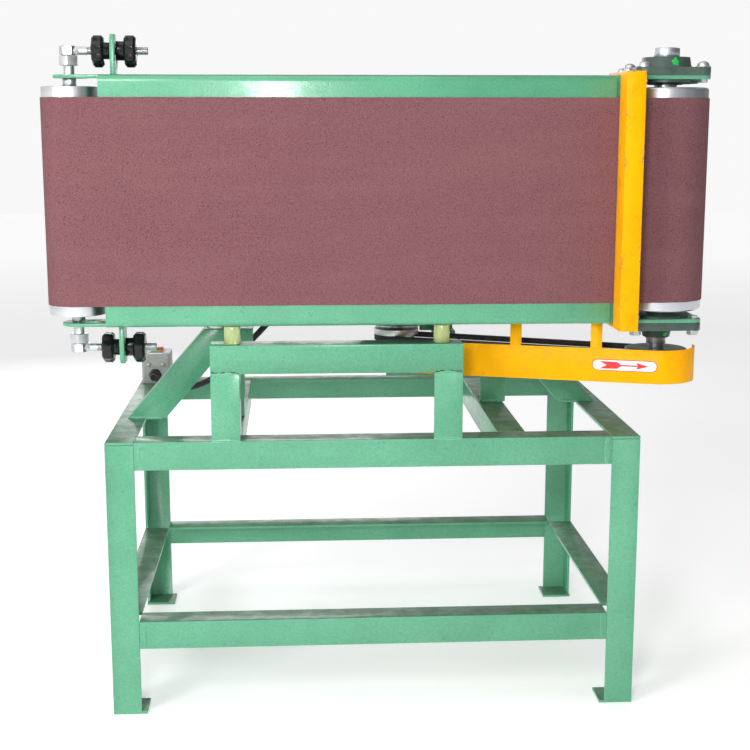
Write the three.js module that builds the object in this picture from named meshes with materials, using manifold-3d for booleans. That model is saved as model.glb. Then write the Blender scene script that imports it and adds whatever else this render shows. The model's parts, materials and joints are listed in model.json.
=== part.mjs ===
// A floor-standing belt sander: a wide abrasive belt on edge, running between an idler drum and a driven
// drum past a flat platen, all on a stand of welded angle steel.
// Millimetres, +X towards the drive end, +Y towards the back, +Z up. The origin is on the floor, under
// the middle of the machine's bounding box. Every piece is drawn from the middle of the stand's front
// face, and the group is moved last.
import * as THREE from "three";
import { mergeVertices } from "three/addons/utils/BufferGeometryUtils.js";
import Module from "manifold-3d";

const wasm = await Module();
wasm.setup();

// Driving dimensions
const gap = 0.3;
const stand = { width: 940, depth: 630, height: 500, lowerRail: 173 };
const angle = { width: 50, wall: 5 };
const belt = { width: 350, thickness: 1.5, middle: 912 };
const drum = { length: belt.width + 35, front: belt.thickness + gap };
const idler = { x: -512.8, radius: 48, shaft: 9, travel: 20 };
const drive = { x: 511.1, radius: 75, shaft: 20, collar: 17.5, tail: 14 };
const platen = { left: -460, right: 409, height: 424, sheet: 6, front: 2.2, depth: 145, bend: 12 };
const spacer = { radius: 14, height: 31 };
const rod = { radius: 7, offset: 251.5, length: 133 };
const vBelt = { depth: 8, width: 10, pitch: 12, bottom: 620 };
const drivePulley = { radius: 55, bottom: 614, top: 646 };
const motorPulley = { radius: 43, bottom: 614, top: 654 };
const guard = { radius: 69, sheet: 2.5, bottom: 591, top: 651, length: 480, turn: 162 };
const motorShaft = { radius: 12, depth: 14 };
const motor = { x: 58, y: 300, radius: 71, bottom: 664, top: 937, footHeight: 80 };

// Levels and places worked out from them
const platenTop = belt.middle + platen.height / 2;
const platenBottom = belt.middle - platen.height / 2;
const headRailTop = platenBottom - spacer.height - 2 * gap;
idler.y = drum.front + idler.radius;
drive.y = drum.front + drive.radius;
motor.distance = Math.hypot(motor.x - drive.x, motor.y - drive.y);
motor.turn = Math.atan2(motor.y - drive.y, motor.x - drive.x);

function paint(color, roughness, metalness) {
  return new THREE.MeshStandardMaterial({ color, roughness, metalness });
}

const enamel = paint(0x6fb892, 0.45, 0);
const castIron = paint(0x4d6058, 0.55, 0.2);
const brightSteel = paint(0xc9ccd0, 0.3, 1);
const turnedAluminium = paint(0xd6d9dd, 0.25, 1);
const yellow = paint(0xfdbb05, 0.4, 0);
const blackPlastic = paint(0x15161a, 0.25, 0);
const blackRubber = paint(0x1b1b1d, 0.8, 0);
const urethane = paint(0xc3cf7c, 0.3, 0);
const abrasive = paint(0x8a5a60, 0.95, 0);
const motorPaint = paint(0x3d4c59, 0.5, 0.1);
const greyPlastic = paint(0x9aa1a3, 0.5, 0);
const redPlastic = paint(0xd0301f, 0.35, 0);
const greenPlastic = paint(0x2f9a4a, 0.35, 0);

// Solids

function solid(geometry) {
  const bare = geometry.clone();
  bare.deleteAttribute("normal");
  bare.deleteAttribute("uv");
  const merged = mergeVertices(bare, 1e-3);
  const mesh = new wasm.Mesh({
    numProp: 3,
    vertProperties: merged.attributes.position.array,
    triVerts: new Uint32Array(merged.index.array),
  });
  return new wasm.Manifold(mesh);
}

function geometryOf(made) {
  const mesh = made.getMesh();
  const geometry = new THREE.BufferGeometry();
  geometry.setAttribute("position", new THREE.BufferAttribute(mesh.vertProperties, 3));
  geometry.setIndex(new THREE.BufferAttribute(mesh.triVerts, 1));
  geometry.computeVertexNormals();
  return geometry;
}

function join(...pieces) {
  return geometryOf(pieces.map(solid).reduce((sum, piece) => sum.add(piece)));
}

function cut(body, ...tools) {
  return geometryOf(tools.map(solid).reduce((rest, tool) => rest.subtract(tool), solid(body)));
}

function box(low, high) {
  const size = high.map((value, i) => value - low[i]);
  const centre = high.map((value, i) => (value + low[i]) / 2);
  return new THREE.BoxGeometry(...size).translate(...centre);
}

// A round bar or a hexagon along Z.
function bar(radius, bottom, top, sides = 24) {
  const made = new THREE.CylinderGeometry(radius, radius, top - bottom, sides);
  return made.rotateX(Math.PI / 2).translate(0, 0, (bottom + top) / 2);
}

// A tapered round boss along Z.
function cone(bottomRadius, topRadius, bottom, top, sides = 32) {
  const made = new THREE.CylinderGeometry(topRadius, bottomRadius, top - bottom, sides);
  return made.rotateX(Math.PI / 2).translate(0, 0, (bottom + top) / 2);
}

// A ring turned about Z from a closed outline of [radius, height] points, listed anticlockwise.
function turned(outline, sides = 48) {
  const points = outline.map(([radius, height]) => new THREE.Vector2(radius, height));
  points.push(points[0].clone());
  return new THREE.LatheGeometry(points, sides).rotateX(Math.PI / 2);
}

function shapeOf(points) {
  return new THREE.Shape(points.map(([x, y]) => new THREE.Vector2(x, y)));
}

function extruded(shape, depth) {
  return new THREE.ExtrudeGeometry(shape, { depth, bevelEnabled: false, curveSegments: 8 });
}

// Turns an outline drawn in Y and Z, extruded by a length, so that the length runs along X.
const alongX = new THREE.Matrix4().makeBasis(
  new THREE.Vector3(0, 1, 0),
  new THREE.Vector3(0, 0, 1),
  new THREE.Vector3(1, 0, 0),
);

function extrudedAlongX(points, from, to) {
  return extruded(shapeOf(points), to - from).applyMatrix4(alongX).translate(from, 0, 0);
}

// A rectangle with round corners, centred on the Z axis.
function roundedRectangle(width, depth, radius) {
  const x = width / 2 - radius;
  const y = depth / 2 - radius;
  const shape = new THREE.Shape();
  shape.absarc(x, y, radius, 0, Math.PI / 2);
  shape.absarc(-x, y, radius, Math.PI / 2, Math.PI);
  shape.absarc(-x, -y, radius, Math.PI, 1.5 * Math.PI);
  shape.absarc(x, -y, radius, 1.5 * Math.PI, 2 * Math.PI);
  return shape;
}

// The loop of a belt round two pulleys: the first at the origin, the second at +distance on X.
function loopPoints(distance, firstRadius, secondRadius, steps = 24) {
  const lean = Math.acos((firstRadius - secondRadius) / distance);
  const points = [];
  for (let i = 0; i <= steps; i++) {
    const turn = lean + ((2 * Math.PI - 2 * lean) * i) / steps;
    points.push([firstRadius * Math.cos(turn), firstRadius * Math.sin(turn)]);
  }
  for (let i = 0; i <= steps; i++) {
    const turn = -lean + (2 * lean * i) / steps;
    points.push([distance + secondRadius * Math.cos(turn), secondRadius * Math.sin(turn)]);
  }
  return points;
}

function beltLoop(distance, firstRadius, secondRadius, thickness, width) {
  const shape = shapeOf(loopPoints(distance, firstRadius + thickness, secondRadius + thickness));
  shape.holes.push(shapeOf(loopPoints(distance, firstRadius, secondRadius)));
  return extruded(shape, width);
}

// The machine

const machine = new THREE.Group();
machine.name = "vertical_belt_sander";

function add(name, geometry, material, x = 0, y = 0, z = 0, turn = 0) {
  const mesh = new THREE.Mesh(geometry, material);
  mesh.name = name;
  mesh.position.set(x, y, z);
  mesh.rotation.z = turn;
  machine.add(mesh);
  return mesh;
}

const quarter = Math.PI / 2;

// Stand

// An upright angle with its corner at the origin and its flanges along +X and +Y.
function upright(height) {
  const { width, wall } = angle;
  return extruded(
    shapeOf([[0, 0], [width, 0], [width, wall], [wall, wall], [wall, width], [0, width]]),
    height,
  );
}

function leg() {
  const foot = 60;
  const top = stand.height - angle.wall - gap;
  return join(upright(top), box([0, 0, 0], [foot, foot, angle.wall]));
}

// An angle along +X with its flat face at the front and its other flange level with the top.
// The top flange may run past the face at both ends, over the corners of the legs.
function rail(length, overhang = 0) {
  const { width, wall } = angle;
  return join(
    box([0, 0, -width], [length, wall, 0]),
    box([-overhang, 0, -wall], [length + overhang, width, 0]),
  );
}

function buildStand() {
  const { width, depth, height, lowerRail } = stand;
  const x = width / 2;
  add("leg_front_left", leg(), enamel, -x, 0, 0, 0);
  add("leg_front_right", leg(), enamel, x, 0, 0, quarter);
  add("leg_back_right", leg(), enamel, x, depth, 0, 2 * quarter);
  add("leg_back_left", leg(), enamel, -x, depth, 0, -quarter);

  const across = width - 2 * angle.width - 2 * gap;
  const deep = depth - 2 * angle.width - 2 * gap;
  const from = angle.width + gap;
  for (const [level, z, overhang] of [["top", height, from], ["lower", lowerRail, 0]]) {
    add(level + "_rail_front", rail(across), enamel, -across / 2, 0, z, 0);
    add(level + "_rail_back", rail(across), enamel, across / 2, depth, z, 2 * quarter);
    add(level + "_rail_left", rail(deep, overhang), enamel, -x, depth - from, z, -quarter);
    add(level + "_rail_right", rail(deep, overhang), enamel, x, from, z, quarter);
  }
  add("cross_rail_left", rail(deep), enamel, -235, from, height, quarter);
  add("cross_rail_right", rail(deep), enamel, 222, depth - from, height, -quarter);
}

// A slanting angle cut level at both ends, its flat face at the front and its foot at the origin.
function brace(height, lean) {
  const foot = 71;
  const edge = 7;
  const slice = (wide, deep) =>
    extruded(shapeOf([[0, 0], [wide, 0], [wide + lean, height], [lean, height]]), deep)
      .rotateX(quarter)
      .translate(0, deep, 0);
  return join(slice(foot, angle.wall), slice(edge, angle.width));
}

const frontPost = { left: -235, right: 153 };
const rearLeft = { y: 200, x: -235 };
const rearRight = { y: 315, x: 277, beamTop: 604, braceSlope: 0.869 };

function buildSupports() {
  const floor = stand.height + gap;
  const postHeight = headRailTop - angle.width - gap - floor;
  add("post_front_left", upright(postHeight), enamel, frontPost.left, 0, floor, quarter);
  add("post_front_right", upright(postHeight), enamel, frontPost.right, 0, floor, quarter);
  const railLeft = frontPost.left - angle.width;
  add("head_rail", rail(frontPost.right - railLeft), enamel, railLeft, 0, headRailTop);

  const behind = angle.wall + gap;
  add("post_rear_left", upright(postHeight), enamel, rearLeft.x, rearLeft.y + behind, floor, quarter);
  add("stub_rail", rail(84), enamel, -301, rearLeft.y + behind, headRailTop);
  add("brace_left", brace(headRailTop - floor, 145), enamel, -453, rearLeft.y, floor);

  const beamHeight = rearRight.beamTop - angle.width - gap - floor;
  const beamLeft = 40;
  const beamY = rearRight.y + behind;
  add("post_rear_right", upright(beamHeight), enamel, rearRight.x, beamY, floor, quarter);
  add("motor_beam", rail(rearRight.x - beamLeft), enamel, beamLeft, beamY, rearRight.beamTop);
  const rightRise = rearRight.beamTop - floor;
  add("brace_right", brace(rightRise, -rearRight.braceSlope * rightRise), enamel, 383, rearRight.y, floor);
}

const motorFoot = { x: 155, y: 350, reach: 22, z: rearRight.beamTop + spacer.height + 2 * gap };

function buildSpacers() {
  const places = {
    spacer_front_left: [-247, 22, headRailTop],
    spacer_front_right: [117, 22, headRailTop],
    spacer_rear_left: [-262, 232, headRailTop],
    spacer_rear_right: [motorFoot.x, motorFoot.y, rearRight.beamTop],
  };
  for (const [name, [x, y, z]] of Object.entries(places)) {
    add(name, bar(spacer.radius, gap, gap + spacer.height), urethane, x, y, z);
  }
}

// Head frame

// The folded sheet seen from its end, in Y and Z: a flat front, two round bends and two level flanges.
function platenOutline() {
  const { front, depth, bend, sheet } = platen;
  const corner = (radius, top) => {
    const z = top ? platenTop - bend : platenBottom + bend;
    const points = [];
    for (let i = 0; i <= 4; i++) {
      const turn = (i / 4) * quarter;
      const along = top ? Math.sin(turn) : Math.cos(turn);
      const across = top ? Math.cos(turn) : Math.sin(turn);
      points.push([front + bend - radius * across, z + (top ? radius : -radius) * along]);
    }
    return points;
  };
  return [
    [depth, platenBottom],
    [depth, platenBottom + sheet],
    ...corner(bend - sheet, false),
    ...corner(bend - sheet, true),
    [depth, platenTop - sheet],
    [depth, platenTop],
    ...corner(bend, true).reverse(),
    ...corner(bend, false).reverse(),
  ];
}

const bearing = { size: 130, corner: 18, thickness: 14, hubEnd: 244.5 };

function buildPlaten() {
  const { left, right, sheet, depth } = platen;
  const channel = extrudedAlongX(platenOutline(), left, right);
  const reach = drive.x + bearing.size / 2;
  const half = bearing.size / 2;
  const lap = 60;
  const plate = (bottom) => {
    const outline = roundedRectangle(reach - right + lap, bearing.size, bearing.corner);
    const blank = extruded(outline, sheet).translate((reach + right - lap) / 2, drive.y, bottom);
    const hole = bar(drive.shaft + 4, bottom - 1, bottom + sheet + 1).translate(drive.x, drive.y, 0);
    return cut(blank, hole);
  };
  const strip = box(
    [right - 20, platen.front + sheet, platenBottom + 1],
    [drive.x - half + 6, platen.front + 2 * sheet, platenTop - 1],
  );
  const frame = join(channel, plate(platenBottom), plate(platenTop - sheet), strip);
  add("platen_frame", frame, enamel);
  const arm = { left: -310, right: -215, back: 262, rib: 30 };
  const armSolid = join(
    box([arm.left, depth + gap, platenBottom], [arm.right, arm.back, platenBottom + sheet]),
    box([arm.left, depth + gap, platenBottom], [arm.left + sheet, arm.back, platenBottom + arm.rib]),
  );
  add("rear_arm", armSolid, enamel);
}

// A bracket beside the platen whose slot guides the idler's shaft.
function buildIdlerBracket(name, bottom) {
  const { sheet, left } = platen;
  const half = 30;
  const end = idler.x + 3;
  const outline = new THREE.Shape();
  outline.absarc(end, idler.y, half, quarter, 3 * quarter);
  outline.lineTo(left - gap, idler.y - half);
  outline.lineTo(left - gap, idler.y + half);
  const slotRadius = idler.shaft + 0.6;
  const slot = new THREE.Path();
  slot.absarc(idler.x, idler.y, slotRadius, quarter, 3 * quarter);
  slot.absarc(idler.x + idler.travel, idler.y, slotRadius, -quarter, quarter);
  outline.holes.push(slot);
  add(name, extruded(outline, sheet), enamel, 0, 0, bottom);
}

// The upright lug that the tension screw passes through, outside the platen on side +1 or -1.
function buildTensionLug(name, side) {
  const left = -441.5;
  const thickness = 8;
  const half = 23;
  const chamfer = 8;
  const foot = platen.height / 2 + gap;
  const tip = rod.offset + 27;
  const outline = [
    [-half, foot],
    [half, foot],
    [half, tip - chamfer],
    [half - chamfer, tip],
    [chamfer - half, tip],
    [-half, tip - chamfer],
  ];
  const plate = extrudedAlongX(outline, left, left + thickness);
  const hole = bar(rod.radius + 0.8, left - 1, left + thickness + 1).rotateY(quarter);
  const lug = cut(plate, hole.translate(0, 0, rod.offset));
  const mesh = add(name, lug, enamel, 0, idler.y, belt.middle);
  if (side < 0) mesh.rotation.x = Math.PI;
}

// Drums and belt

function buildIdler() {
  const { x, y, radius, shaft } = idler;
  const end = drum.length / 2;
  const bore = shaft + gap;
  const wall = 6;
  const disc = 16;
  const recess = 5;
  const outline = [
    [bore, -end + recess],
    [radius - wall, -end + recess],
    [radius - wall, -end],
    [radius - 1, -end],
    [radius, -end + 1],
    [radius, end - 1],
    [radius - 1, end],
    [radius - wall, end],
    [radius - wall, end - recess],
    [bore, end - recess],
    [bore, end - recess - disc],
    [radius - wall, end - recess - disc],
    [radius - wall, -end + recess + disc],
    [bore, -end + recess + disc],
  ];
  add("idler_drum", turned(outline), turnedAluminium, x, y, belt.middle);

  const bushFrom = end + 1;
  const bushTo = platen.height / 2 - platen.sheet - gap;
  const bushRadius = shaft + 2.5;
  const nut = { radius: 17, from: 227, to: 243 };
  const shaftSolid = join(
    bar(shaft, -nut.from - 2, nut.from + 2),
    bar(bushRadius, bushFrom, bushTo),
    bar(bushRadius, -bushTo, -bushFrom),
    bar(nut.radius, nut.from, nut.to, 6),
    bar(nut.radius, -nut.to, -nut.from, 6),
  );
  add("idler_shaft", shaftSolid, brightSteel, x, y, belt.middle);
}

function buildDrive() {
  const { x, y, radius, shaft } = drive;
  const end = drum.length / 2;
  const wall = 8;
  const disc = 12;
  const recess = 6;
  const shoulder = 3;
  const inside = shaft - 5;
  const outline = [
    [inside, -end + recess],
    [radius - wall, -end + recess],
    [radius - wall, -end],
    [radius - shoulder, -end],
    [radius, -end + shoulder],
    [radius, end - shoulder],
    [radius - shoulder, end],
    [radius - wall, end],
    [radius - wall, end - recess],
    [inside, end - recess],
    [inside, end - recess - disc],
    [radius - wall, end - recess - disc],
    [radius - wall, -end + recess + disc],
    [inside, -end + recess + disc],
  ];
  const hole = { radius: 12, place: 43 };
  const holes = [0, 1, 2, 3].map((i) =>
    bar(hole.radius, -end, end, 12).translate(hole.place, 0, 0).rotateZ(i * quarter + quarter / 2),
  );
  const shell = cut(turned(outline), ...holes);
  const collarTop = 260;
  const housingTop = bearing.hubEnd;
  const neckBottom = -257;
  const tailBottom = drivePulley.bottom - 4 - belt.middle;
  const made = join(
    shell,
    bar(shaft, -housingTop - 3, housingTop + 1),
    bar(23, housingTop + gap, collarTop),
    bar(drive.collar, neckBottom, -housingTop),
    bar(drive.tail, tailBottom, neckBottom + 1),
  );
  add("drive_drum", made, turnedAluminium, x, y, belt.middle);
}

// A flange bearing: a square flange with a round hub above it. Side -1 hangs it under its plate.
function buildBearing(name, side, hubFoot, hubTip) {
  const { size, corner, thickness, hubEnd } = bearing;
  const from = platen.height / 2 + gap;
  const flange = extruded(roundedRectangle(size, size, corner), thickness).translate(0, 0, from);
  const hub = cone(hubFoot, hubTip, from + thickness - 1, hubEnd);
  const bore = bar(drive.shaft + gap, from - 1, hubEnd + 1);
  const mesh = add(name, cut(join(flange, hub), bore), castIron, drive.x, drive.y, belt.middle);
  if (side < 0) mesh.rotation.x = Math.PI;
}

function buildSandingBelt() {
  const { width, thickness, middle } = belt;
  const span = Math.hypot(drive.x - idler.x, drive.y - idler.y);
  const loop = beltLoop(span, idler.radius + gap, drive.radius + gap, thickness, width);
  const turn = Math.atan2(drive.y - idler.y, drive.x - idler.x);
  add("sanding_belt", loop, abrasive, idler.x, idler.y, middle - width / 2, turn);
}

// Tension screws

// The rod end on the idler's shaft, with its threaded rod towards the platen.
function buildTensionRod(name, side) {
  const blockRadius = 15;
  const blockHalf = 7.5;
  const neck = { radius: 8, length: 20 };
  const block = join(
    bar(blockRadius, -blockHalf, blockHalf, 6),
    bar(neck.radius, 0, neck.length).rotateY(quarter),
    bar(rod.radius, 0, rod.length, 24).rotateY(quarter),
  );
  add(name, block, brightSteel, idler.x, idler.y, belt.middle + side * rod.offset);
}

// A lobed knob with its hub, turning about X. The hub points along +X.
function knob(hubRadius, hubLength) {
  const lobes = 7;
  const pointsPerLobe = 5;
  const thickness = 20;
  const round = 4;
  const reach = 27;
  const lobe = 1.8;
  const shape = new THREE.Shape();
  for (let i = 0; i < lobes * pointsPerLobe; i++) {
    const turn = (2 * Math.PI * i) / (lobes * pointsPerLobe);
    const radius = reach - lobe - round + lobe * Math.cos(lobes * turn);
    const point = [radius * Math.cos(turn), radius * Math.sin(turn)];
    if (i === 0) shape.moveTo(...point);
    else shape.lineTo(...point);
  }
  const disc = new THREE.ExtrudeGeometry(shape, {
    depth: thickness - 2 * round,
    bevelThickness: round,
    bevelSize: round,
    bevelSegments: 1,
  }).translate(0, 0, round);
  const body = join(disc, bar(hubRadius, thickness - 2, thickness + hubLength));
  const bore = bar(rod.radius + gap, -1, thickness + hubLength + 1, 24);
  return cut(body, bore).rotateY(quarter);
}

const knobs = { leftFace: -472.5, rightFace: -399 };

function buildTensionScrew(end, side) {
  const z = belt.middle + side * rod.offset;
  buildTensionLug("tension_lug_" + end, side);
  buildTensionRod("tension_rod_" + end, side);
  add("knob_left_" + end, knob(14, 10.5), blackPlastic, knobs.leftFace, idler.y, z);
  const right = add("knob_right_" + end, knob(16, 13.5), blackPlastic, knobs.rightFace, idler.y, z);
  right.rotation.z = Math.PI;
}

// Yellow sheet metal

function buildWorkStop() {
  const left = 413;
  const right = 445;
  const front = -52;
  const back = 85;
  const sheet = 5;
  const bottom = platenBottom - sheet - gap;
  const top = platenTop + sheet + gap;
  const stop = join(
    box([left, front, bottom], [left + sheet, -3, top]),
    box([left, front, bottom], [right, front + sheet, top]),
    box([left, front, top - sheet], [right, back, top]),
    box([left, front, bottom], [right, back, bottom + sheet]),
  );
  add("work_stop", stop, yellow);
}

// The guard is drawn from the drive shaft, with +X towards the motor and +Y towards the front. Its wall
// runs along the front and round the end of the drive pulley, and it is open at the back and the top.
function buildGuard() {
  const { radius, sheet, length, bottom, top } = guard;
  const wallEnd = 1.1 * Math.PI;
  const inner = radius - sheet;
  const wall = new THREE.Shape();
  wall.moveTo(length, radius);
  wall.absarc(0, 0, radius, quarter, wallEnd);
  wall.absarc(0, 0, inner, wallEnd, quarter, true);
  wall.lineTo(length, inner);
  const floor = new THREE.Shape();
  floor.moveTo(length, radius);
  floor.absarc(0, 0, radius, quarter, 3 * quarter);
  floor.lineTo(length, -radius);
  const strap = { half: 10, sheet: 3, foot: 24, sink: 10 };
  const hang = platenBottom - gap - bottom;
  const straps = [244, 100].flatMap((x) => [
    box([x - strap.half, inner - strap.sheet, strap.sink], [x + strap.half, inner + 0.5, hang]),
    box([x - strap.half, inner - strap.foot, hang - strap.sheet], [x + strap.half, inner + 0.5, hang]),
  ]);
  const made = join(extruded(wall, top - bottom), extruded(floor, sheet), ...straps);
  add("belt_guard", made, yellow, drive.x, drive.y, bottom, THREE.MathUtils.degToRad(guard.turn));
}

// Motor and its drive

function finOutline(radius, fins, height) {
  const profile = [[-0.3, radius - height], [-0.16, radius], [0.16, radius], [0.3, radius - height]];
  const points = [];
  for (let i = 0; i < fins; i++) {
    for (const [part, r] of profile) {
      const turn = ((i + part) * 2 * Math.PI) / fins;
      points.push([r * Math.cos(turn), r * Math.sin(turn)]);
    }
  }
  return points;
}

const motorBody = { top: motor.top - 65, shield: 20, finHeight: 6 };
const motorFeet = { bottom: 745, top: 840, x: 48, half: 18, depth: 40 };

function buildMotorBody() {
  const { radius, bottom } = motor;
  const { top, shield, finHeight } = motorBody;
  const chamfer = 6;
  const foot = (x) =>
    box(
      [x - motorFeet.half, motor.footHeight - motorFeet.depth, motorFeet.bottom],
      [x + motorFeet.half, motor.footHeight, motorFeet.top],
    );
  const boxNeck = box([terminalBox.right + gap, -20, 785], [-40, 20, 845]);
  const shell = extruded(shapeOf(finOutline(radius - 1, 20, finHeight)), top - bottom - shield);
  const body = join(
    cone(radius - 2 * chamfer, radius, bottom, bottom + chamfer, 48),
    bar(radius, bottom + chamfer, bottom + shield, 48),
    shell.translate(0, 0, bottom + shield - 1),
    bar(radius, top - 2 * chamfer, top, 48),
    foot(-motorFeet.x),
    foot(motorFeet.x),
    boxNeck,
  );
  const shaftBore = bar(motorShaft.radius + 1, bottom - 1, bottom + motorShaft.depth + 1);
  add("motor_body", cut(body, shaftBore), motorPaint, motor.x, motor.y);
}

function buildFanCover() {
  const { radius, top } = motor;
  const bottom = motorBody.top + gap;
  const sheet = 2;
  const eye = 14;
  const shoulder = 11;
  const outline = [
    [eye, top - sheet],
    [radius - shoulder - 1, top - sheet],
    [radius - sheet, top - shoulder - 1],
    [radius - sheet, bottom],
    [radius, bottom],
    [radius, top - shoulder],
    [radius - shoulder, top],
    [eye, top],
  ];
  const slots = [];
  for (let i = 0; i < 12; i++) {
    slots.push(box([24, -3, top - 10], [radius - 18, 3, top + 1]).rotateZ((i * Math.PI) / 6));
  }
  const cover = cut(turned(outline, 36), ...slots);
  add("motor_fan_cover", cover, motorPaint, motor.x, motor.y);
}

const terminalBox = { left: -128, right: -76 - gap, half: 32, bottom: 775, top: 855 };

function buildTerminalBox() {
  const { left, right, half, bottom, top } = terminalBox;
  const made = join(
    box([left + 8, -half, bottom], [right, half, top]),
    box([left, -half - 2, bottom - 2], [left + 9, half + 2, top + 2]),
    bar(9, bottom - 9, bottom + 1, 6).translate((left + right) / 2, 0, 0),
  );
  add("motor_terminal_box", made, motorPaint, motor.x, motor.y);
}

// A pulley's outline of [radius, height] points, with one groove for each V-belt.
function pulleyOutline(bore, pulley) {
  const points = [[bore, pulley.bottom], [pulley.radius, pulley.bottom]];
  for (let i = 0; i < 2; i++) {
    const low = vBelt.bottom + i * vBelt.pitch - gap;
    const high = low + vBelt.width + 2 * gap;
    const root = pulley.radius - vBelt.depth - gap;
    points.push([pulley.radius, low], [root, low], [root, high], [pulley.radius, high]);
  }
  points.push([pulley.radius, pulley.top], [bore, pulley.top]);
  return points;
}

function buildPulleys() {
  add("drive_pulley", turned(pulleyOutline(drive.tail + gap, drivePulley), 36), castIron, drive.x, drive.y);
  const shaft = bar(motorShaft.radius, motorPulley.bottom + 2, motor.bottom + motorShaft.depth);
  const rotor = join(turned(pulleyOutline(10, motorPulley), 36), shaft);
  add("motor_rotor", rotor, brightSteel, motor.x, motor.y);
  const names = ["v_belt_lower", "v_belt_upper"];
  names.forEach((name, i) => {
    const first = drivePulley.radius - vBelt.depth;
    const second = motorPulley.radius - vBelt.depth;
    const loop = beltLoop(motor.distance, first, second, vBelt.depth - gap, vBelt.width);
    add(name, loop, blackRubber, drive.x, drive.y, vBelt.bottom + i * vBelt.pitch, motor.turn);
  });
}

// A plate behind the motor's feet, with a web on each side down to the platen's lower flange, and a foot
// on the rear right spacer.
function buildMotorBracket() {
  const back = motor.y + motor.footHeight + gap;
  const plate = 8;
  const flange = platenBottom + platen.sheet + gap;
  const beltClearance = belt.middle - belt.width / 2 - 5;
  const top = 880;
  const webTop = top - 20;
  const web = (x) =>
    extrudedAlongX(
      [
        [100, flange],
        [back + 1, flange],
        [back + 1, webTop],
        [back - 26, webTop],
        [back - 34, beltClearance],
        [100, beltClearance],
      ],
      x,
      x + platen.sheet,
    );
  const left = motor.x - 88;
  const right = motor.x + 82;
  const { x, y, z, reach } = motorFoot;
  const bracket = join(
    box([left, back, flange], [right + platen.sheet, back + plate, top]),
    box([x - 2 * reach, back, z], [x + reach, back + plate, flange + platen.sheet]),
    box([x - reach, y - reach, z], [x + reach, back + plate, z + platen.sheet]),
    web(left),
    web(right),
  );
  add("motor_bracket", bracket, enamel);
}

// Switch and its cable

const switchBox = { left: -465, right: -406, front: 556, back: 630, top: 563, corner: 6, pocket: 16 };
const gland = { x: -437, z: 519, reach: 10 };
const startButton = { y: 584, width: 22, depth: 14, height: 3 };
const stopButton = { y: 608, width: 24, depth: 18, height: 8 };

// A push button whose stem stands in a pocket of the switch box, with room to travel down.
function button({ width, depth, height }) {
  const stem = switchBox.pocket / 2;
  return box([-width / 2, -depth / 2, -stem], [width / 2, depth / 2, height]);
}

function buildSwitch() {
  const { left, right, front, back, top, corner, pocket } = switchBox;
  const bottom = stand.height + gap;
  const play = 0.5;
  const x = (left + right) / 2;
  const body = extruded(roundedRectangle(right - left, back - front, corner), top - bottom);
  const pockets = [startButton, stopButton].map(({ y, width, depth }) =>
    box(
      [x - width / 2 - play, y - depth / 2 - play, top - pocket],
      [x + width / 2 + play, y + depth / 2 + play, top + 1],
    ),
  );
  const nut = bar(10, 0, gland.reach + 1, 6).rotateX(quarter).translate(gland.x, front + 1, gland.z);
  const placed = body.translate(x, (front + back) / 2, bottom);
  add("switch_box", cut(join(placed, nut), ...pockets), greyPlastic);
  add("start_button", button(startButton), greenPlastic, x, startButton.y, top);
  add("stop_button", button(stopButton), redPlastic, x, stopButton.y, top);
}

function buildMotorCable() {
  const radius = 6;
  const boxX = motor.x + (terminalBox.left + terminalBox.right) / 2;
  const boxZ = terminalBox.bottom - 9 - gap;
  const start = switchBox.front - gland.reach - gap;
  const route = [
    [gland.x, start, gland.z],
    [gland.x, start - 12, gland.z],
    [-415, 500, 514],
    [-366, 440, 512],
    [-312, 395, 536],
    [-258, 335, 590],
    [-212, 280, 645],
    [-172, 276, 684],
    [-104, 290, 716],
    [boxX, motor.y, boxZ - 16],
    [boxX, motor.y, boxZ],
  ];
  const path = new THREE.CatmullRomCurve3(route.map((point) => new THREE.Vector3(...point)));
  const circle = new THREE.Shape().absarc(0, 0, radius, 0, 2 * Math.PI);
  const cable = new THREE.ExtrudeGeometry(circle, { steps: 40, extrudePath: path, curveSegments: 5 });
  add("motor_cable", cable, blackRubber);
}

buildStand();
buildSupports();
buildSpacers();
buildPlaten();
buildIdlerBracket("idler_bracket_top", platenTop - platen.sheet);
buildIdlerBracket("idler_bracket_bottom", platenBottom);
buildIdler();
buildDrive();
buildBearing("bearing_top", 1, 44, 41);
buildBearing("bearing_bottom", -1, 28, 24);
buildSandingBelt();
buildTensionScrew("top", 1);
buildTensionScrew("bottom", -1);
buildWorkStop();
buildGuard();
buildMotorBody();
buildFanCover();
buildTerminalBox();
buildPulleys();
buildMotorBracket();
buildSwitch();
buildMotorCable();

const middle = new THREE.Box3().setFromObject(machine, true).getCenter(new THREE.Vector3());
machine.position.set(-middle.x, -middle.y, 0);

export default machine;
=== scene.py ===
# The looks of a floor-standing belt sander: finishes, fasteners, welds, threads, label, light, camera.
# Metres throughout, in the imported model's frame: +X towards the drive drum, +Y to the back, +Z up.
import json
import math
import random

import bmesh
import bpy
from mathutils import Euler, Matrix, Vector


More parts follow.
